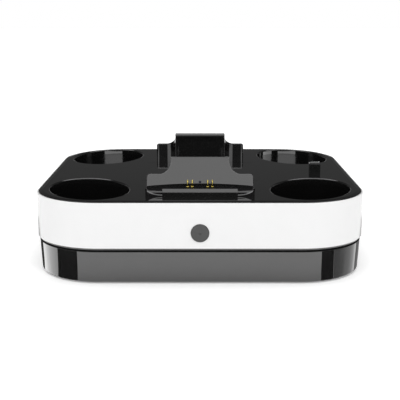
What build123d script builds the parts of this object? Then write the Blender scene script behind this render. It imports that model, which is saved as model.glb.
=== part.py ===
"""Charging dock for two gamepads and four wand controllers.

A low rounded-square case: a black base on rubber feet, a white band standing on it and a black deck let
into the band's top. Four leaning oval wells go down through the deck. Two T-shaped wedge cradles stand
back to back on it, each with four spring pins in a channel. A push button sits in the front of the band
and the power inlet in the back of the base.

Frame: +X right, +Y to the rear, +Z up, origin on the table under the middle of the dock. Millimetres.
"""
import math
import os

from build123d import *

os.makedirs("parts", exist_ok=True)

# Case outline: the white band is the widest piece, and every other outline is set in from it
dock_width = 200.0
dock_depth = 190.5
band_corner = 41.0
band_wall = 3.6
band_edge = 0.6

# Heights, stacked upwards from the table
foot_proud = 0.8
base_face = 18.7
groove_height = 1.1
strip_height = 1.2
band_height = 26.8
deck_proud = 0.8

# Base: tapered face, groove under a thin strip, hollow inside
base_top_inset = 0.9
base_bottom_inset = 1.8
groove_inset = 2.6
base_inner_inset = 5.2
base_floor = 2.4
base_edge = 1.2
tongue_height = 1.5
tongue_width = 1.2

# Deck plate, let into a rebate in the band, with a border that slopes down to the band's top
deck_thickness = 3.2
deck_border = 2.8
border_drop = 0.5
deck_edge = 0.25
deck_inset = 1.0
deck_gap = 0.15
seam_width = 0.4
seam_depth = 0.2
seam_length = 75.0
seam_y = 32.3

# Oval wells: the long axis leans away from front-to-back by well_turn, and a land of deck is left outside them
well_long = 64.6
well_short = 47.6
well_land_side = 6.4
well_land_end = 5.2
well_turn = 18.6
well_floor_z = 8.0
well_narrowing = 2.0
well_rim = 0.8
cup_wall = 1.5
cup_floor = 2.0
cup_round = 3.0
terminal_flange = 4.0
terminal_post = 1.5
terminal_height = 5.0
terminal_flange_height = 1.0
dome_share = 0.8

# Cradles: depths are measured back from the cradle's front wall, which stands in from the band's face
cradle_from_end = 14.95
cradle_depth = 32.8
stem_half = 18.0
head_half = 32.3
flare_radius = 6.8
stem_reach = 11.55
ridge_land = 3.7
slope_angle = 45.0
channel_mid_depth = 15.4
channel_end_depth = 14.1
channel_wall = 4.6
channel_floor = 1.9
lip_thickness = 2.0
lip_half = 22.2
lip_height = 4.4
horn_height = 4.9
horn_width = 0.9
scoop_low = 1.0
ridge_round = 1.8
back_edge = 0.7
cradle_edge = 0.3
lip_edge = 0.2
scoop_edge = 0.5
head_corner = 1.8

# Spring pins: a thin plunger in a wider barrel, in two pairs either side of the sense lens
pin_depth = 10.3
pin_inner_x = 4.6
pin_outer_x = 7.4
barrel_radius = 0.85
barrel_height = 4.0
plunger_radius = 0.5
plunger_height = 7.8
pin_travel = 2.2
spring_space = 1.3
pin_clearance = 0.05
barrel_end = 0.5
barrel_chamfer = 0.2
lens_depth = 16.2
lens_radius = 0.8
lens_thickness = 1.2
lens_proud = 0.4
lens_round = 0.35
contact_board_length = 28.0
contact_board_width = 11.0
board_thickness = 1.6
pin_slot_length = 19.0
pin_slot_width = 4.0

# Front push button and the switch behind it
button_radius = 5.2
button_z = 31.0
button_gap = 0.2
button_proud = 0.5
button_travel = 0.8
button_dish = 0.25
flange_radius = 6.6
flange_thickness = 1.4
stem_radius = 2.0
stem_length = 2.2
running_gap = 0.3
switch_gap = 0.1
switch_size = 6.0
switch_depth = 4.0
switch_board_width = 18.0
switch_board_height = 36.0

# Power inlet on the main board
board_length = 52.0
board_width = 42.0
board_rise = 3.2
board_edge_gap = 3.0
standoff_radius = 2.5
inlet_width = 10.0
inlet_height = 11.0
inlet_depth = 12.0
inlet_nose_radius = 4.0
inlet_bore_radius = 2.9
inlet_bore_depth = 9.0
inlet_pin_radius = 1.0
inlet_pin_short = 1.0
inlet_gap = 0.2

# Screws, feet and the small tab beside the wells
screw_x = 34.0
screw_from_end = 11.25
screw_radius = 1.5
screw_head_radius = 2.8
screw_head_height = 2.0
screw_bite = 8.0
screw_boss_radius = 4.0
screw_boss_top = 14.0
screw_seat_z = 11.0
screw_recess_radius = 3.3
cross_length = 3.2
cross_width = 0.9
cross_depth = 1.1
foot_radius = 7.0
foot_height = 2.0
foot_round = 0.3
foot_from_side = 38.0
foot_from_end = 37.25
tab_from_side = 22.3
tab_width = 7.5
tab_depth = 4.0
tab_height = 6.4
tab_round = 1.6

# Levels and places worked out from the sizes above
base_bottom_z = foot_proud
base_top_z = base_bottom_z + base_face
strip_z = base_top_z + groove_height
band_bottom_z = strip_z + strip_height
band_top_z = band_bottom_z + band_height
deck_top_z = band_top_z + deck_proud
deck_under_z = deck_top_z - deck_thickness
floor_z = base_bottom_z + base_floor
board_y = dock_depth / 2 - base_inner_inset - board_edge_gap - board_width / 2
inner_rear_y = dock_depth / 2 - base_inner_inset
inlet_z = floor_z + board_rise + board_thickness + inlet_height / 2
front_face_y = -dock_depth / 2
lean = math.radians(well_turn)
well_reach_x = math.hypot(well_long / 2 * math.sin(lean), well_short / 2 * math.cos(lean))
well_reach_y = math.hypot(well_long / 2 * math.cos(lean), well_short / 2 * math.sin(lean))
well_x = dock_width / 2 - deck_inset - well_land_side - well_reach_x
well_y = dock_depth / 2 - deck_inset - well_land_end - well_reach_y
screw_y = dock_depth / 2 - screw_from_end
foot_x = dock_width / 2 - foot_from_side
foot_y = dock_depth / 2 - foot_from_end
tab_x = dock_width / 2 - tab_from_side

# Cradle sizes that follow its depth: the slope keeps its foot at the channel's back wall
slope = math.tan(math.radians(slope_angle))
slope_normal = math.cos(math.radians(slope_angle))
ridge_depth = cradle_depth - ridge_land
shoulder_depth = cradle_depth - stem_reach
ridge_height = channel_wall + (ridge_depth - channel_mid_depth) * slope

# Cradle stations, as distances out from the dock's middle
cradle_front_out = dock_depth / 2 - cradle_from_end
cradle_back_out = cradle_front_out - cradle_depth
ridge_out = cradle_front_out - ridge_depth
shoulder_out = cradle_front_out - shoulder_depth
channel_mid_out = cradle_front_out - channel_mid_depth
channel_end_out = cradle_front_out - channel_end_depth
lip_back_out = cradle_front_out - lip_thickness
lens_out = cradle_front_out - lens_depth
pin_out = cradle_front_out - pin_depth
barrel_bottom_z = deck_under_z - board_thickness
barrel_top_z = deck_top_z + barrel_height
plunger_bottom_z = barrel_bottom_z + barrel_end + spring_space + pin_travel
plunger_top_z = deck_top_z + plunger_height


def outline(inset):
    """Draw the case outline, moved in from the band's face by inset, in the sketch being built."""
    RectangleRounded(dock_width - 2 * inset, dock_depth - 2 * inset, band_corner - inset)


def cradle_plane(side, height):
    """Flat plane whose local Y points out from the dock's middle towards side (-1 front, +1 rear)."""
    return Plane(origin=(0, 0, height), x_dir=(side, 0, 0), z_dir=(0, 0, 1))


def cradle_section(side):
    """Upright plane through the middle: local X points out towards side, local Y up from the deck."""
    return Plane(origin=(0, 0, deck_top_z), x_dir=(0, side, 0), z_dir=(side, 0, 0))


def is_sloping(face):
    """Tell whether a face is flat and tilted like the cradles' sloping faces."""
    return face.geom_type == GeomType.PLANE and abs(face.normal_at().Z - slope_normal) < 0.01


def off_middle(edge):
    """Tell whether an edge lies to one side of a cradle, and not across it."""
    return abs(edge.center().X) > stem_half / 2


def save(part, name):
    """Label one finished piece and write it to its own file."""
    part.label = name
    export_step(part, f"parts/{name}.step")


sides = {"front": -1, "rear": 1}
wells = {
    "front_left": (-1, -1),
    "front_right": (1, -1),
    "rear_left": (-1, 1),
    "rear_right": (1, 1),
}
pins = {1: -pin_outer_x, 2: -pin_inner_x, 3: pin_inner_x, 4: pin_outer_x}


def well_plane(corner, height):
    """Plane of one well's oval at a height, its local X along the oval's long axis."""
    side_x, side_y = corner
    axis = (side_x * math.sin(lean), -side_y * math.cos(lean), 0)
    return Plane(origin=(side_x * well_x, side_y * well_y, height), x_dir=axis, z_dir=(0, 0, 1))


# Base shell: tapered face below, then a groove, then the thin strip that carries the band
with BuildPart() as base_shell:
    with BuildSketch(Plane.XY.offset(base_bottom_z)):
        outline(base_bottom_inset)
    with BuildSketch(Plane.XY.offset(base_top_z)):
        outline(base_top_inset)
    loft()
    fillet(base_shell.faces().sort_by(Axis.Z)[0].edges(), base_edge)
    with BuildSketch(Plane.XY.offset(base_top_z)):
        outline(groove_inset)
    extrude(amount=groove_height)
    with BuildSketch(Plane.XY.offset(strip_z)):
        outline(base_top_inset)
    extrude(amount=strip_height)
    with BuildSketch(Plane.XY.offset(band_bottom_z)):
        outline(base_inner_inset - tongue_width)
    extrude(amount=tongue_height)
    with BuildSketch(Plane.XY.offset(floor_z)):
        outline(base_inner_inset)
    extrude(amount=band_bottom_z + tongue_height - floor_z, mode=Mode.SUBTRACT)
    # Screw bosses, bored from below for the screw and its head
    with BuildSketch(Plane.XY.offset(floor_z)):
        with GridLocations(2 * screw_x, 2 * screw_y, 2, 2):
            Circle(screw_boss_radius)
    extrude(amount=screw_boss_top - floor_z)
    with Locations(Plane.XY.offset(screw_boss_top)):
        with GridLocations(2 * screw_x, 2 * screw_y, 2, 2):
            Hole(screw_radius)
    with BuildSketch(Plane.XY.offset(base_bottom_z)):
        with GridLocations(2 * screw_x, 2 * screw_y, 2, 2):
            Circle(screw_recess_radius)
    extrude(amount=screw_seat_z - base_bottom_z, mode=Mode.SUBTRACT)
    # Pockets for the feet
    with BuildSketch(Plane.XY.offset(base_bottom_z)):
        with GridLocations(2 * foot_x, 2 * foot_y, 2, 2):
            Circle(foot_radius)
    extrude(amount=foot_height - foot_proud, mode=Mode.SUBTRACT)
    # Stand-offs for the main board
    with BuildSketch(Plane.XY.offset(floor_z)):
        with Locations((0, board_y)):
            with GridLocations(board_length - 4 * standoff_radius, board_width - 4 * standoff_radius, 2, 2):
                Circle(standoff_radius)
    extrude(amount=board_rise)
    # Window in the back wall for the inlet's nose
    with BuildSketch(Plane.XZ.offset(-inner_rear_y)):
        with Locations((0, inlet_z)):
            Circle(inlet_nose_radius + inlet_gap)
    extrude(amount=-base_inner_inset, mode=Mode.SUBTRACT)
save(base_shell.part, "base_shell")

# White band: a plain ring with a rebate round its top for the deck and a hole for the button
with BuildPart() as white_band:
    with BuildSketch(Plane.XY.offset(band_bottom_z)):
        outline(0)
    extrude(amount=band_height)
    fillet(white_band.faces().sort_by(Axis.Z)[-1].edges(), band_edge)
    with BuildSketch(Plane.XY.offset(band_bottom_z)):
        outline(band_wall)
    extrude(amount=band_height, mode=Mode.SUBTRACT)
    with BuildSketch(Plane.XY.offset(deck_under_z)):
        outline(deck_inset - deck_gap)
    extrude(amount=deck_thickness, mode=Mode.SUBTRACT)
    with BuildSketch(Plane.XZ.offset(-front_face_y)):
        with Locations((0, button_z)):
            Circle(button_radius + button_gap)
    extrude(amount=-2 * band_wall, mode=Mode.SUBTRACT)
save(white_band.part, "white_band")

# Top deck: plate with the four ovals cut through, two pin slots and four screw posts below
with BuildPart() as top_deck:
    with BuildSketch(Plane.XY.offset(deck_under_z)):
        outline(deck_inset)
    extrude(amount=deck_thickness - border_drop)
    with BuildSketch(Plane.XY.offset(deck_top_z - border_drop)):
        outline(deck_inset)
    with BuildSketch(Plane.XY.offset(deck_top_z)):
        outline(deck_inset + deck_border)
    loft()
    fillet(top_deck.edges().group_by(Axis.Z)[-3], deck_edge)
    for corner in wells.values():
        with BuildSketch(well_plane(corner, deck_under_z)):
            Ellipse(well_long / 2, well_short / 2)
        extrude(amount=deck_thickness, mode=Mode.SUBTRACT)
    oval_rims = top_deck.faces().filter_by(Plane.XY).sort_by(Axis.Z)[-1].inner_wires().edges()
    fillet(oval_rims, well_rim)
    with BuildSketch(Plane.XY.offset(deck_under_z)):
        with GridLocations(0, 2 * pin_out, 1, 2):
            SlotOverall(pin_slot_length, pin_slot_width)
    extrude(amount=deck_thickness, mode=Mode.SUBTRACT)
    with BuildSketch(Plane.XY.offset(deck_top_z)):
        with GridLocations(0, 2 * seam_y, 1, 2):
            Rectangle(seam_length, seam_width)
    extrude(amount=-seam_depth, mode=Mode.SUBTRACT)
    with BuildSketch(Plane.XY.offset(screw_boss_top)):
        with GridLocations(2 * screw_x, 2 * screw_y, 2, 2):
            Circle(screw_boss_radius)
    extrude(until=Until.NEXT)
    with BuildSketch(Plane.XY.offset(screw_boss_top)):
        with GridLocations(2 * screw_x, 2 * screw_y, 2, 2):
            Circle(screw_radius)
    extrude(amount=screw_bite, mode=Mode.SUBTRACT)
save(top_deck.part, "top_deck")

# Well cups: oval tubs that narrow downwards and hang from the deck's underside
for corner_name, corner in wells.items():
    with BuildPart() as well_cup:
        with BuildSketch(well_plane(corner, well_floor_z - cup_floor)):
            Ellipse(well_long / 2 - well_narrowing + cup_wall, well_short / 2 - well_narrowing + cup_wall)
        with BuildSketch(well_plane(corner, deck_under_z)):
            Ellipse(well_long / 2 + cup_wall, well_short / 2 + cup_wall)
        loft()
        with BuildSketch(well_plane(corner, well_floor_z)):
            Ellipse(well_long / 2 - well_narrowing, well_short / 2 - well_narrowing)
        with BuildSketch(well_plane(corner, deck_under_z)):
            Ellipse(well_long / 2, well_short / 2)
        loft(mode=Mode.SUBTRACT)
        floor_face = well_cup.faces().filter_by(Plane.XY).sort_by(Axis.Z)[1]
        fillet(floor_face.edges(), cup_round)
    save(well_cup.part, f"well_cup_{corner_name}")

    # Terminal: a domed post on a flat flange in the middle of the well's floor
    with BuildPart() as well_terminal:
        with BuildSketch(well_plane(corner, well_floor_z)):
            Circle(terminal_flange)
        extrude(amount=terminal_flange_height)
        with BuildSketch(well_plane(corner, well_floor_z)):
            Circle(terminal_post)
        extrude(amount=terminal_height)
        fillet(well_terminal.faces().sort_by(Axis.Z)[-1].edges(), terminal_post * dome_share)
    save(well_terminal.part, f"well_terminal_{corner_name}")

# Cradles: a T in plan, cut back by the sloping face, with a channel behind a low lip
for side_name, side in sides.items():
    flat = cradle_plane(side, deck_top_z)
    section = cradle_section(side)
    slope_foot = ridge_out + ridge_height / slope
    lens_height = ridge_height - (lens_out - ridge_out) * slope
    lens_plane = Plane(
        origin=(0, side * lens_out, deck_top_z + lens_height), x_dir=(1, 0, 0), z_dir=(0, side * slope, 1)
    )
    front_wall = Plane(
        origin=(0, side * cradle_front_out, deck_top_z), x_dir=(-side, 0, 0), z_dir=(0, side, 0)
    )

    with BuildPart() as cradle:
        with BuildSketch(flat) as plan:
            with BuildLine():
                stem = Line((stem_half, cradle_back_out), (stem_half, shoulder_out - flare_radius))
                flare = RadiusArc(stem @ 1, (stem_half + flare_radius, shoulder_out), flare_radius)
                head = Polyline(
                    flare @ 1,
                    (head_half, shoulder_out),
                    (head_half, cradle_front_out),
                    (0, cradle_front_out),
                )
                Polyline(head @ 1, (0, cradle_back_out), stem @ 0)
            make_face()
            mirror(about=Plane.YZ)
            head_corners = plan.vertices().filter_by(lambda corner: abs(corner.X) > head_half - 0.01)
            fillet(head_corners, head_corner)
        extrude(amount=ridge_height)
        # Sloping face down to the channel's floor, and the front wall left at the horns' height
        with BuildSketch(section):
            with BuildLine():
                Polyline(
                    (ridge_out, ridge_height),
                    (slope_foot - channel_floor / slope, channel_floor),
                    (lip_back_out, channel_floor),
                    (lip_back_out, horn_height),
                    (cradle_front_out, horn_height),
                    (cradle_front_out, ridge_height),
                    close=True,
                )
            make_face()
        extrude(amount=head_half, both=True, mode=Mode.SUBTRACT)
        # Rounded edge from the stem round each flare and along the head, then the ridge
        sloping_face = cradle.faces().filter_by(is_sloping)[0]
        fillet(sloping_face.edges().filter_by(off_middle), back_edge)
        ridge_edges = cradle.edges().filter_by(Axis.X).group_by(Axis.Z)[-1]
        fillet(ridge_edges.sort_by(lambda edge: abs(edge.center().Y))[0], ridge_round)
        # Channel, its back wall bowed away from the lip
        with BuildSketch(cradle_plane(side, deck_top_z + channel_floor)):
            with BuildLine():
                bow = ThreePointArc(
                    (-head_half, channel_end_out), (0, channel_mid_out), (head_half, channel_end_out)
                )
                Polyline(bow @ 1, (head_half, lip_back_out), (-head_half, lip_back_out), bow @ 0)
            make_face()
        extrude(amount=ridge_height, mode=Mode.SUBTRACT)
        # Lip: the middle of the front wall, sloped like the face above it
        with BuildSketch(section):
            with BuildLine():
                Polyline(
                    (lip_back_out, lip_height),
                    (cradle_front_out, lip_height - lip_thickness * slope),
                    (cradle_front_out, ridge_height),
                    (lip_back_out, ridge_height),
                    close=True,
                )
            make_face()
        extrude(amount=lip_half, both=True, mode=Mode.SUBTRACT)
        # Scoops: a quarter oval out of each end of the front wall
        with BuildSketch(front_wall):
            with BuildLine():
                curve = EllipticalCenterArc(
                    (lip_half, horn_height),
                    head_half - horn_width - lip_half,
                    horn_height - scoop_low,
                    start_angle=270,
                    arc_size=90,
                )
                Polyline(curve @ 1, (lip_half, horn_height), curve @ 0)
            make_face()
            mirror(about=Plane.YZ)
        extrude(amount=-lip_thickness, mode=Mode.SUBTRACT)
        # Bevels on the scoops' fronts, then soft edges on the lip and the sloping face, which share one slope
        scoop_fronts = cradle.edges().filter_by(GeomType.ELLIPSE).sort_by(lambda edge: abs(edge.center().Y))[-2:]
        chamfer(scoop_fronts, scoop_edge)
        lip_face, sloping_face = cradle.faces().filter_by(is_sloping).sort_by(SortBy.AREA)
        fillet(lip_face.edges(), lip_edge)
        fillet([edge for edge in sloping_face.edges() if not off_middle(edge)], cradle_edge)
        # Holes for the barrels and the sense lens
        with BuildSketch(flat):
            with Locations(*[(x, pin_out) for x in pins.values()]):
                Circle(barrel_radius)
        extrude(amount=channel_floor, mode=Mode.SUBTRACT)
        with BuildSketch(lens_plane):
            Circle(lens_radius)
        extrude(amount=-lens_thickness, mode=Mode.SUBTRACT)
    save(cradle.part, f"{side_name}_cradle")

    with BuildPart() as sense_lens:
        with BuildSketch(lens_plane):
            Circle(lens_radius)
        extrude(amount=-lens_thickness)
        with BuildSketch(lens_plane):
            Circle(lens_radius)
        extrude(amount=lens_proud)
        fillet(sense_lens.faces().sort_by(Axis.Z)[-1].edges(), lens_round)
    save(sense_lens.part, f"{side_name}_sense_lens")

    # Contact board under the deck, bored for the four barrels
    with BuildPart() as contact_board:
        with BuildSketch(cradle_plane(side, deck_under_z - board_thickness)):
            with Locations((0, pin_out)):
                Rectangle(contact_board_length, contact_board_width)
            with Locations(*[(x, pin_out) for x in pins.values()]):
                Circle(barrel_radius, mode=Mode.SUBTRACT)
        extrude(amount=board_thickness)
    save(contact_board.part, f"{side_name}_contact_board")

    for number, pin_x in pins.items():
        # Barrel: a closed tube from the board up through the deck and the channel's floor
        with BuildPart() as pin_barrel:
            with BuildSketch(Plane.XY.offset(barrel_bottom_z)):
                with Locations((pin_x, side * pin_out)):
                    Circle(barrel_radius)
            extrude(amount=barrel_top_z - barrel_bottom_z)
            chamfer(pin_barrel.faces().sort_by(Axis.Z)[-1].edges(), barrel_chamfer)
            with BuildSketch(Plane.XY.offset(barrel_bottom_z + barrel_end)):
                with Locations((pin_x, side * pin_out)):
                    Circle(plunger_radius + pin_clearance)
            extrude(amount=barrel_top_z - barrel_bottom_z, mode=Mode.SUBTRACT)
        save(pin_barrel.part, f"{side_name}_pin_barrel_{number}")

        # Plunger: a round rod with a domed tip
        with BuildPart() as pin_plunger:
            with BuildSketch(Plane.XY.offset(plunger_bottom_z)):
                with Locations((pin_x, side * pin_out)):
                    Circle(plunger_radius)
            extrude(amount=plunger_top_z - plunger_bottom_z)
            fillet(pin_plunger.faces().sort_by(Axis.Z)[-1].edges(), plunger_radius * dome_share)
        save(pin_plunger.part, f"{side_name}_pin_plunger_{number}")

# Push button: a dished cap, a flange that keeps it behind the wall and a stem for the switch
button_face = Plane(origin=(0, front_face_y - button_proud, button_z), x_dir=(1, 0, 0), z_dir=(0, -1, 0))
cap_length = button_proud + band_wall + running_gap
dish_radius = (button_radius**2 + button_dish**2) / (2 * button_dish)
with BuildPart() as front_button:
    with BuildSketch(button_face):
        Circle(button_radius)
    extrude(amount=-cap_length)
    with BuildSketch(button_face.offset(-cap_length)):
        Circle(flange_radius)
    extrude(amount=-flange_thickness)
    with BuildSketch(button_face.offset(-cap_length - flange_thickness)):
        Circle(stem_radius)
    extrude(amount=-stem_length)
    with Locations(button_face.offset(dish_radius - button_dish)):
        Sphere(dish_radius, mode=Mode.SUBTRACT)
save(front_button.part, "front_button")

# Switch body behind the button, on a board that stands on the base's floor
switch_face = button_face.offset(-cap_length - flange_thickness - stem_length - button_travel - switch_gap)
with BuildPart() as button_switch:
    with BuildSketch(switch_face):
        Rectangle(switch_size, switch_size)
    extrude(amount=-switch_depth)
save(button_switch.part, "button_switch")

switch_board_y = switch_face.origin.Y + switch_depth + board_thickness / 2
with BuildPart() as switch_board:
    with BuildSketch(Plane.XY.offset(floor_z)):
        with Locations((0, switch_board_y)):
            Rectangle(switch_board_width, board_thickness)
    extrude(amount=switch_board_height)
save(switch_board.part, "switch_board")

# Main board on its stand-offs, with the power inlet at its rear edge
with BuildPart() as main_board:
    with BuildSketch(Plane.XY.offset(floor_z + board_rise)):
        with Locations((0, board_y)):
            Rectangle(board_length, board_width)
    extrude(amount=board_thickness)
save(main_board.part, "main_board")

inlet_back = Plane(origin=(0, inner_rear_y, inlet_z), x_dir=(-1, 0, 0), z_dir=(0, 1, 0))
nose_length = base_inner_inset - base_bottom_inset
with BuildPart() as power_inlet:
    with BuildSketch(inlet_back):
        Rectangle(inlet_width, inlet_height)
    extrude(amount=-inlet_depth)
    with BuildSketch(inlet_back):
        Circle(inlet_nose_radius)
    extrude(amount=nose_length)
    with BuildSketch(inlet_back.offset(nose_length)):
        Circle(inlet_bore_radius)
    extrude(amount=-inlet_bore_depth, mode=Mode.SUBTRACT)
save(power_inlet.part, "power_inlet")

with BuildPart() as inlet_pin:
    with BuildSketch(inlet_back.offset(nose_length - inlet_bore_depth)):
        Circle(inlet_pin_radius)
    extrude(amount=inlet_bore_depth - inlet_pin_short)
    fillet(inlet_pin.faces().sort_by(Axis.Y)[-1].edges(), inlet_pin_radius * dome_share)
save(inlet_pin.part, "inlet_pin")

# Screws from below, their heads in the bosses, and feet pressed into pockets
for corner_name, (side_x, side_y) in wells.items():
    screw_plane = Plane(origin=(side_x * screw_x, side_y * screw_y, screw_seat_z))
    with BuildPart() as case_screw:
        with BuildSketch(screw_plane):
            Circle(screw_radius)
        extrude(amount=screw_boss_top + screw_bite - screw_seat_z)
        with BuildSketch(screw_plane):
            Circle(screw_head_radius)
        extrude(amount=-screw_head_height)
        with BuildSketch(screw_plane.offset(-screw_head_height)):
            Rectangle(cross_length, cross_width)
            Rectangle(cross_width, cross_length)
        extrude(amount=cross_depth, mode=Mode.SUBTRACT)
    save(case_screw.part, f"case_screw_{corner_name}")

    with BuildPart() as rubber_foot:
        with BuildSketch(Plane(origin=(side_x * foot_x, side_y * foot_y, 0))):
            Circle(foot_radius)
        extrude(amount=foot_height)
        fillet(rubber_foot.faces().sort_by(Axis.Z)[0].edges(), foot_round)
    save(rubber_foot.part, f"rubber_foot_{corner_name}")

# Small upright tab on the deck, between the two right-hand wells
with BuildPart() as side_tab:
    with BuildSketch(Plane(origin=(tab_x, 0, deck_top_z))):
        Rectangle(tab_width, tab_depth)
    extrude(amount=tab_height)
    fillet(side_tab.faces().sort_by(Axis.Z)[-1].edges(), tab_round)
save(side_tab.part, "side_tab")
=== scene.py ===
"""Charging dock for game controllers, dressed for a studio picture.

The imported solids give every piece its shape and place. This file gives each piece its finish, section by
section, and then sets up the floor, the light and the camera.
"""
import math

import bpy
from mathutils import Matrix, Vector

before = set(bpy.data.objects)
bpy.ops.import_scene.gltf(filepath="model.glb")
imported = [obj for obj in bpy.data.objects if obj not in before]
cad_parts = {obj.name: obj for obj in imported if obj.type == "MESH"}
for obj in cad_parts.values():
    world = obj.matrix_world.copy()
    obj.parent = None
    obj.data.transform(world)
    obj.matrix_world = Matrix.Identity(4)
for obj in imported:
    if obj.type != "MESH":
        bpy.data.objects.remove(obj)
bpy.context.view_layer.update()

# Base shell: the tub that everything stands in, moulded in black plastic and polished on the outside.
# A groove and a thin strip at its top part it from the white band. Polished plastic is never quite flat,
# so its gloss carries a faint ripple and its roughness drifts a little. The groove is left dull.


def gloss_plastic(name, shades, roughness, ripple, coat, index):
    """Moulded plastic: colour drifts between two shades, roughness between two values, and a noise of about
    a millimetre lifts the surface by a share of ripple. The plastic and its lacquer bend light by index."""
    drift_scale, drift_detail = 45.0, 3.0
    ripple_scale, ripple_detail, ripple_height = 900.0, 2.0, 0.0002
    lacquer_roughness = 0.03
    material = bpy.data.materials.new(name)
    material.use_nodes = True
    tree = material.node_tree
    shader = tree.nodes["Principled BSDF"]
    place = tree.nodes.new("ShaderNodeTexCoord")
    drift = tree.nodes.new("ShaderNodeTexNoise")
    drift.inputs["Scale"].default_value = drift_scale
    drift.inputs["Detail"].default_value = drift_detail
    tree.links.new(place.outputs["Object"], drift.inputs["Vector"])
    colour = tree.nodes.new("ShaderNodeMix")
    colour.data_type = "RGBA"
    colour.inputs["A"].default_value = (*shades[0], 1.0)
    colour.inputs["B"].default_value = (*shades[1], 1.0)
    tree.links.new(drift.outputs["Fac"], colour.inputs["Factor"])
    tree.links.new(colour.outputs["Result"], shader.inputs["Base Color"])
    gloss = tree.nodes.new("ShaderNodeMapRange")
    gloss.inputs["To Min"].default_value = roughness[0]
    gloss.inputs["To Max"].default_value = roughness[1]
    tree.links.new(drift.outputs["Fac"], gloss.inputs["Value"])
    tree.links.new(gloss.outputs["Result"], shader.inputs["Roughness"])
    peel = tree.nodes.new("ShaderNodeTexNoise")
    peel.inputs["Scale"].default_value = ripple_scale
    peel.inputs["Detail"].default_value = ripple_detail
    tree.links.new(place.outputs["Object"], peel.inputs["Vector"])
    bump = tree.nodes.new("ShaderNodeBump")
    bump.inputs["Strength"].default_value = ripple
    bump.inputs["Distance"].default_value = ripple_height
    tree.links.new(peel.outputs["Fac"], bump.inputs["Height"])
    tree.links.new(bump.outputs["Normal"], shader.inputs["Normal"])
    shader.inputs["IOR"].default_value = index
    shader.inputs["Coat IOR"].default_value = index
    shader.inputs["Coat Weight"].default_value = coat
    shader.inputs["Coat Roughness"].default_value = lacquer_roughness
    return material


def dress(material, *names):
    """Put one material into every slot of the named CAD nodes."""
    for name in names:
        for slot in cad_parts[name].material_slots:
            slot.material = material


base_black = gloss_plastic("base_black", shades=((0.006, 0.006, 0.006), (0.009, 0.009, 0.009)),
                           roughness=(0.03, 0.06), ripple=0.004, coat=1.0, index=1.72)
groove_low, groove_high = 0.0193, 0.0207
groove_roughness = 0.85
tree = base_black.node_tree
shader = tree.nodes["Principled BSDF"]
height = tree.nodes.new("ShaderNodeSeparateXYZ")
tree.links.new(tree.nodes["Texture Coordinate"].outputs["Object"], height.inputs["Vector"])
from_middle = tree.nodes.new("ShaderNodeMath")
from_middle.operation = "SUBTRACT"
from_middle.inputs[1].default_value = (groove_low + groove_high) / 2
tree.links.new(height.outputs["Z"], from_middle.inputs[0])
reach = tree.nodes.new("ShaderNodeMath")
reach.operation = "ABSOLUTE"
tree.links.new(from_middle.outputs["Value"], reach.inputs[0])
polished = tree.nodes.new("ShaderNodeMath")
polished.operation = "GREATER_THAN"
polished.inputs[1].default_value = (groove_high - groove_low) / 2
tree.links.new(reach.outputs["Value"], polished.inputs[0])
tree.links.new(polished.outputs["Value"], shader.inputs["Coat Weight"])
dull = tree.nodes.new("ShaderNodeMix")
dull.inputs["A"].default_value = groove_roughness
tree.links.new(polished.outputs["Value"], dull.inputs["Factor"])
tree.links.new(tree.nodes["Map Range"].outputs["Result"], dull.inputs["B"])
tree.links.new(dull.outputs["Result"], shader.inputs["Roughness"])
dress(base_black, "base_shell")

# White band: the ring that gives the dock its height, moulded in white plastic and polished.
# It stands on the base's strip, takes the deck in a rebate round its top, and has the button's hole in front.
white_gloss = gloss_plastic("white_gloss", shades=((0.87, 0.87, 0.87), (0.9, 0.9, 0.9)),
                            roughness=(0.1, 0.2), ripple=0.01, coat=0.3, index=1.5)
dress(white_gloss, "white_band")

# Top deck: the black plate that closes the dock, moulded in plastic with the highest polish of all.
# It is let into the band, with the four ovals cut through it, and the screws from below hold it by its posts.
deck_black = gloss_plastic("deck_black", shades=((0.006, 0.006, 0.006), (0.009, 0.009, 0.009)),
                           roughness=(0.012, 0.03), ripple=0.002, coat=1.0, index=1.6)
dress(deck_black, "top_deck")

# Side tab: a small upright block with rounded edges, between the two wells on the right.
# It is moulded in the deck's own plastic and bonded to the deck.
dress(deck_black, "side_tab")

# Well cups: four oval tubs that narrow downwards, one for each wand controller.
# They are moulded in black plastic with a plainer polish, and hang from the underside of the deck.
corners = ("front_left", "front_right", "rear_left", "rear_right")
well_black = gloss_plastic("well_black", shades=((0.004, 0.004, 0.004), (0.006, 0.006, 0.006)),
                           roughness=(0.08, 0.14), ripple=0.01, coat=0.5, index=1.5)
dress(well_black, *[f"well_cup_{corner}" for corner in corners])

# Well terminals: a domed post on a flat flange in the middle of each well's floor, which meets a controller's
# foot. They are turned from brass and plated with gold, so the turning leaves fine rings in their gloss.


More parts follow.
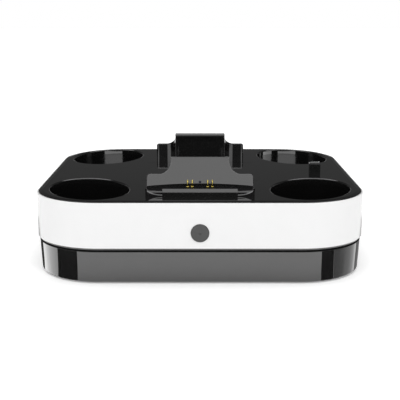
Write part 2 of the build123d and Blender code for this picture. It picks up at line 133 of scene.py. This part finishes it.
def plated_metal(name, shades, roughness):
    """Turned and plated metal: colour and roughness drift with a fine noise stretched round the piece."""
    rings = (300.0, 300.0, 3000.0)
    ring_detail = 3.0
    material = bpy.data.materials.new(name)
    material.use_nodes = True
    tree = material.node_tree
    shader = tree.nodes["Principled BSDF"]
    place = tree.nodes.new("ShaderNodeTexCoord")
    stretch = tree.nodes.new("ShaderNodeMapping")
    stretch.inputs["Scale"].default_value = rings
    tree.links.new(place.outputs["Object"], stretch.inputs["Vector"])
    turning = tree.nodes.new("ShaderNodeTexNoise")
    turning.inputs["Scale"].default_value = 1.0
    turning.inputs["Detail"].default_value = ring_detail
    tree.links.new(stretch.outputs["Vector"], turning.inputs["Vector"])
    colour = tree.nodes.new("ShaderNodeMix")
    colour.data_type = "RGBA"
    colour.inputs["A"].default_value = (*shades[0], 1.0)
    colour.inputs["B"].default_value = (*shades[1], 1.0)
    tree.links.new(turning.outputs["Fac"], colour.inputs["Factor"])
    tree.links.new(colour.outputs["Result"], shader.inputs["Base Color"])
    gloss = tree.nodes.new("ShaderNodeMapRange")
    gloss.inputs["To Min"].default_value = roughness[0]
    gloss.inputs["To Max"].default_value = roughness[1]
    tree.links.new(turning.outputs["Fac"], gloss.inputs["Value"])
    tree.links.new(gloss.outputs["Result"], shader.inputs["Roughness"])
    shader.inputs["Metallic"].default_value = 1.0
    return material


gold = plated_metal("gold", shades=((0.7, 0.54, 0.1), (0.95, 0.8, 0.26)), roughness=(0.1, 0.2))
dress(gold, *[f"well_terminal_{corner}" for corner in corners])

# Cradles: two wedges that stand back to back on the deck and carry a gamepad each.
# Each is one moulding of polished black plastic, with holes for its four pins and its lens, bonded to the deck.
sides = ("front", "rear")
cradle_black = gloss_plastic("cradle_black", shades=((0.007, 0.007, 0.007), (0.01, 0.01, 0.01)),
                             roughness=(0.05, 0.1), ripple=0.006, coat=1.0, index=1.72)
dress(cradle_black, *[f"{side}_cradle" for side in sides])

# Pin barrels: the closed tubes of the spring contacts, four in each cradle's channel.
# They are turned from brass and plated with gold, and are soldered into the contact board under the deck.
pin_numbers = range(1, 5)
dress(gold, *[f"{side}_pin_barrel_{number}" for side in sides for number in pin_numbers])

# Spring plungers: the thin rods with domed tips that slide in the barrels and give way under a gamepad.
# They are plated like the barrels, and the spring in each barrel holds them up.
dress(gold, *[f"{side}_pin_plunger_{number}" for side in sides for number in pin_numbers])

# Sense lenses: a small domed drop in each sloping face, between the two pairs of pins.
# It is moulded in dark clear plastic with a cast of blue, has no lacquer, and is pressed into its hole.
lens_dark = gloss_plastic("lens_dark", shades=((0.004, 0.005, 0.015), (0.008, 0.01, 0.03)),
                          roughness=(0.05, 0.1), ripple=0.0, coat=0.0, index=1.4)
dress(lens_dark, *[f"{side}_sense_lens" for side in sides])

# Contact boards: a strip of glass fibre under each cradle, bored for the four barrels.
# The boards are cut from sheet, lacquered green, and lie against the underside of the deck.
board_green = gloss_plastic("board_green", shades=((0.02, 0.1, 0.04), (0.03, 0.14, 0.06)),
                            roughness=(0.3, 0.45), ripple=0.05, coat=0.2, index=1.5)
dress(board_green, *[f"{side}_contact_board" for side in sides])

# Main board: the plate of the charging circuit, which carries the power inlet at its rear edge.
# It is the same green glass fibre, and stands on the base's stand-offs.
dress(board_green, "main_board")

# Power inlet: a round socket whose nose shows in the base's back wall, with a pin in its middle.
# The socket is moulded in black plastic and soldered to the main board. The pin is turned from steel.
inner_black = gloss_plastic("inner_black", shades=((0.02, 0.02, 0.02), (0.03, 0.03, 0.03)),
                            roughness=(0.4, 0.5), ripple=0.1, coat=0.0, index=1.5)
dress(inner_black, "power_inlet")
steel = plated_metal("steel", shades=((0.5, 0.5, 0.5), (0.65, 0.65, 0.65)), roughness=(0.25, 0.4))
dress(steel, "inlet_pin")

# Front button: a dished cap of dark grey plastic with a satin skin.
# It slides in the band's front wall, and a flange behind the wall keeps it in.
button_grey = gloss_plastic("button_grey", shades=((0.06, 0.06, 0.06), (0.075, 0.075, 0.075)),
                            roughness=(0.2, 0.3), ripple=0.02, coat=0.0, index=1.5)
dress(button_grey, "front_button")

# Button switch: a small moulded black body behind the button, which springs the button out again.
# It is soldered to a strip of green board that stands on the base's floor.
dress(inner_black, "button_switch")
dress(board_green, "switch_board")

# Screws: four plain steel screws, driven from below through the base's bosses into the deck's posts.
# Their heads lie deep in the bosses.
dress(steel, *[f"case_screw_{corner}" for corner in corners])

# Feet: four discs of black rubber, dull and a little grainy.
# They are cut from sheet and pressed into pockets in the base's underside.
rubber = gloss_plastic("rubber", shades=((0.015, 0.015, 0.015), (0.03, 0.03, 0.03)),
                       roughness=(0.7, 0.85), ripple=0.3, coat=0.0, index=1.5)
dress(rubber, *[f"rubber_foot_{corner}" for corner in corners])

# Floor: a wide sheet of white card that the dock stands on.
# The camera sees it a little brighter than it is lit, so that it ends in plain white and keeps a soft shadow.
floor_half = 6.0
floor_mesh = bpy.data.meshes.new("floor")
floor_corners = [(-floor_half, -floor_half, 0), (floor_half, -floor_half, 0), (floor_half, floor_half, 0),
                 (-floor_half, floor_half, 0)]
floor_mesh.from_pydata(floor_corners, [], [(0, 1, 2, 3)])
floor = bpy.data.objects.new("floor", floor_mesh)
bpy.context.scene.collection.objects.link(floor)
floor_white = bpy.data.materials.new("floor_white")
floor_white.use_nodes = True
tree = floor_white.node_tree
shader = tree.nodes["Principled BSDF"]
shader.inputs["Base Color"].default_value = (0.97, 0.97, 0.97, 1.0)
shader.inputs["Roughness"].default_value = 0.9
shader.inputs["Emission Color"].default_value = (1.0, 1.0, 1.0, 1.0)
camera_lift = 0.25
seen = tree.nodes.new("ShaderNodeLightPath")
lift = tree.nodes.new("ShaderNodeMapRange")
lift.inputs["To Max"].default_value = camera_lift
tree.links.new(seen.outputs["Is Camera Ray"], lift.inputs["Value"])
tree.links.new(lift.outputs["Result"], shader.inputs["Emission Strength"])
floor_mesh.materials.append(floor_white)

# Studio room: what the dock is lit by and what its gloss mirrors, as one sky all round it.
# The camera sees plain white. Gloss sees a dim room with a bright horizon, a wide soft box overhead and a
# thin low strip at each side of the camera. Dull surfaces see an even room, brighter in front and overhead.
world = bpy.data.worlds.new("studio")
bpy.context.scene.world = world
world.use_nodes = True
sky = world.node_tree
sky.nodes["Background"].inputs["Strength"].default_value = 1.0
direction = sky.nodes.new("ShaderNodeTexCoord")
parts = sky.nodes.new("ShaderNodeSeparateXYZ")
sky.links.new(direction.outputs["Generated"], parts.inputs["Vector"])
across, ahead, up = (parts.outputs[axis] for axis in "XYZ")


def between(value, start, end, most):
    """Rise from nothing to most while a sky value goes from start to end."""
    rise = sky.nodes.new("ShaderNodeMapRange")
    rise.inputs["From Min"].default_value = start
    rise.inputs["From Max"].default_value = end
    rise.inputs["To Max"].default_value = most
    sky.links.new(value, rise.inputs["Value"])
    return rise.outputs["Result"]


def worked(operation, *values):
    """Join sky values by one operation of arithmetic."""
    joint = sky.nodes.new("ShaderNodeMath")
    joint.operation = operation
    for socket, value in zip(joint.inputs, values):
        sky.links.new(value, socket)
    return joint.outputs["Value"]


def chosen(ray, other_light, ray_light):
    """One light for the rays of a kind, another for the rest."""
    choice = sky.nodes.new("ShaderNodeMix")
    choice.data_type = "RGBA"
    sky.links.new(rays.outputs[ray], choice.inputs["Factor"])
    sky.links.new(other_light, choice.inputs["A"])
    sky.links.new(ray_light, choice.inputs["B"])
    return choice.outputs["Result"]


room = sky.nodes.new("ShaderNodeValToRGB")
sky.links.new(up, room.inputs["Fac"])
room_levels = ((0.0, 0.6), (0.03, 0.4), (0.09, 0.06), (0.24, 0.045), (0.5, 0.03), (0.68, 0.05), (0.72, 1.4),
               (0.88, 1.4), (0.95, 0.88))
for number, (rise, level) in enumerate(room_levels):
    stop = room.color_ramp.elements[number] if number < 2 else room.color_ramp.elements.new(rise)
    stop.position = rise
    stop.color = (level, level, level, 1.0)
aside = worked("ABSOLUTE", across)
low_height = worked("MULTIPLY", between(up, 0.125, 0.145, 0.9), between(up, 0.2, 0.18, 1.0))
low_width = worked("MULTIPLY", between(aside, 0.18, 0.25, 1.0), between(aside, 0.85, 0.78, 1.0))
low_strip = worked("MULTIPLY", worked("MULTIPLY", low_width, low_height), between(ahead, -0.1, -0.2, 1.0))
mirrored = worked("ADD", low_strip, room.outputs["Color"])
even = sky.nodes.new("ShaderNodeValue")
even.outputs["Value"].default_value = 0.52
front_and_top = worked("ADD", between(ahead, 0.0, -1.0, 0.55), between(up, 0.5, 1.0, 1.1))
lit = worked("ADD", front_and_top, even.outputs["Value"])
rays = sky.nodes.new("ShaderNodeLightPath")
white = sky.nodes.new("ShaderNodeRGB")
white.outputs["Color"].default_value = (1.0, 1.0, 1.0, 1.0)
shown = chosen("Is Camera Ray", chosen("Is Glossy Ray", lit, mirrored), white.outputs["Color"])
sky.links.new(shown, sky.nodes["Background"].inputs["Color"])

# Cards: sheets on the table round the dock's front corners, which only gloss sees.
# Black ones give the base's corners their dark bands. Brighter ones fan out beside them and grow brighter
# towards the base's ends, and dark ones behind the fans draw a fine dark line down the base's outline.


def card(name, *edges):
    """A flat card just above the table. Each edge has an inner point, an outer point, both in millimetres,
    and a glow. The glow goes evenly from one edge to the next."""
    card_height = 0.2
    places = [Vector((*end, card_height)) / 1000 for inner, outer, glow in edges for end in (inner, outer)]
    faces = [(first, first + 1, first + 3, first + 2) for first in range(0, len(places) - 2, 2)]
    mesh = bpy.data.meshes.new(name)
    mesh.from_pydata(places, [], faces)
    levels = [glow for inner, outer, glow in edges for end in (inner, outer)]
    mesh.attributes.new("glow", "FLOAT", "POINT").data.foreach_set("value", levels)
    paint = bpy.data.materials.new(name)
    paint.use_nodes = True
    shader = paint.node_tree.nodes["Principled BSDF"]
    shader.inputs["Base Color"].default_value = (0.0, 0.0, 0.0, 1.0)
    shader.inputs["Specular IOR Level"].default_value = 0.0
    shader.inputs["Emission Color"].default_value = (1.0, 1.0, 1.0, 1.0)
    level = paint.node_tree.nodes.new("ShaderNodeAttribute")
    level.attribute_name = "glow"
    paint.node_tree.links.new(level.outputs["Fac"], shader.inputs["Emission Strength"])
    mesh.materials.append(paint)
    sheet = bpy.data.objects.new(name, mesh)
    bpy.context.scene.collection.objects.link(sheet)
    for kind in ("camera", "diffuse", "transmission", "shadow"):
        setattr(sheet, f"visible_{kind}", False)


black = 0.03
card("left_flag", ((-72, -91.4), (-112, -131.5), black), ((-84.6, -83.8), (-144, -87), black))
card("right_flag", ((71.3, -91.6), (109.5, -133), black), ((78.9, -88), (132.5, -110.5), black))
card("left_fan", ((-84.7, -83.6), (-144, -86.8), 1.26), ((-87.1, -82.2), (-150, -76.5), 1.36),
     ((-90.2, -78.8), (-150, -53.5), 1.62), ((-92.7, -75.1), (-148, -36), 1.77),
     ((-95.6, -69), (-146, -14), 1.6))
card("right_fan", ((79, -87.8), (133, -110.3), 0.27), ((82.9, -86), (146, -99.5), 0.28),
     ((87.1, -82.2), (150, -76.5), 0.47), ((90.2, -78.8), (150, -53.5), 0.6), ((92.7, -75.1), (148, -36), 0.92),
     ((94.2, -72.3), (144, -24), 1.3))
card("left_edge", ((-95.6, -69), (-146, -14), 0.05), ((-98, 60), (-170, 60), 0.05))
card("right_edge", ((94.2, -72.3), (144, -24), 0.2), ((98, 60), (170, 60), 0.2))

# Well lamps: small flat lamps in the mouths of the two rear wells, which only gloss sees.
# The wells' far walls mirror them as the grey patches in the photograph.


def well_lamp(name, place, aim, size):
    """A flat lamp at place that points at aim, all in millimetres."""
    brightness = 1.3
    lamp = bpy.data.lights.new(name, "AREA")
    lamp.shape = "RECTANGLE"
    lamp.size, lamp.size_y = size[0] / 1000, size[1] / 1000
    lamp.energy = brightness * math.pi * lamp.size * lamp.size_y
    holder = bpy.data.objects.new(name, lamp)
    holder.location = Vector(place) / 1000
    holder.rotation_euler = (Vector(aim) - Vector(place)).to_track_quat("-Z", "Y").to_euler()
    for kind in ("camera", "diffuse", "transmission"):
        setattr(holder, f"visible_{kind}", False)
    bpy.context.scene.collection.objects.link(holder)


lamp_x, lamp_y, lamp_z = 60.5, 70, 40.5
wall_y = 90
for side, x in (("left", -lamp_x), ("right", lamp_x)):
    well_lamp(f"{side}_well_lamp", (x, lamp_y, lamp_z), (x, wall_y, lamp_z), (14.5, 8.5))
well_lamp("right_well_strip", (66, 83.5, 43), (40, 83.5, 43), (7, 8.5))

# Camera: it stands in front of the dock's middle and looks a little down, as the photograph does.
# Its lens and its shift were fitted to the photograph's edges.
pitch = math.radians(12.6)
distance = 0.57894
aim_z = 0.0308
focal_pixels = 845.44
picture = 400.0
centre_row = 197.48
camera = bpy.data.cameras.new("camera")
camera.sensor_width = 36.0
camera.lens = focal_pixels * camera.sensor_width / picture
camera.shift_y = (centre_row - picture / 2) / picture
camera.clip_start = 0.01
view = bpy.data.objects.new("camera", camera)
view.location = (0, -distance * math.cos(pitch), aim_z + distance * math.sin(pitch))
view.rotation_euler = (math.pi / 2 - pitch, 0, 0)
bpy.context.scene.collection.objects.link(view)
bpy.context.scene.camera = view
bpy.context.scene.view_settings.view_transform = "Standard"
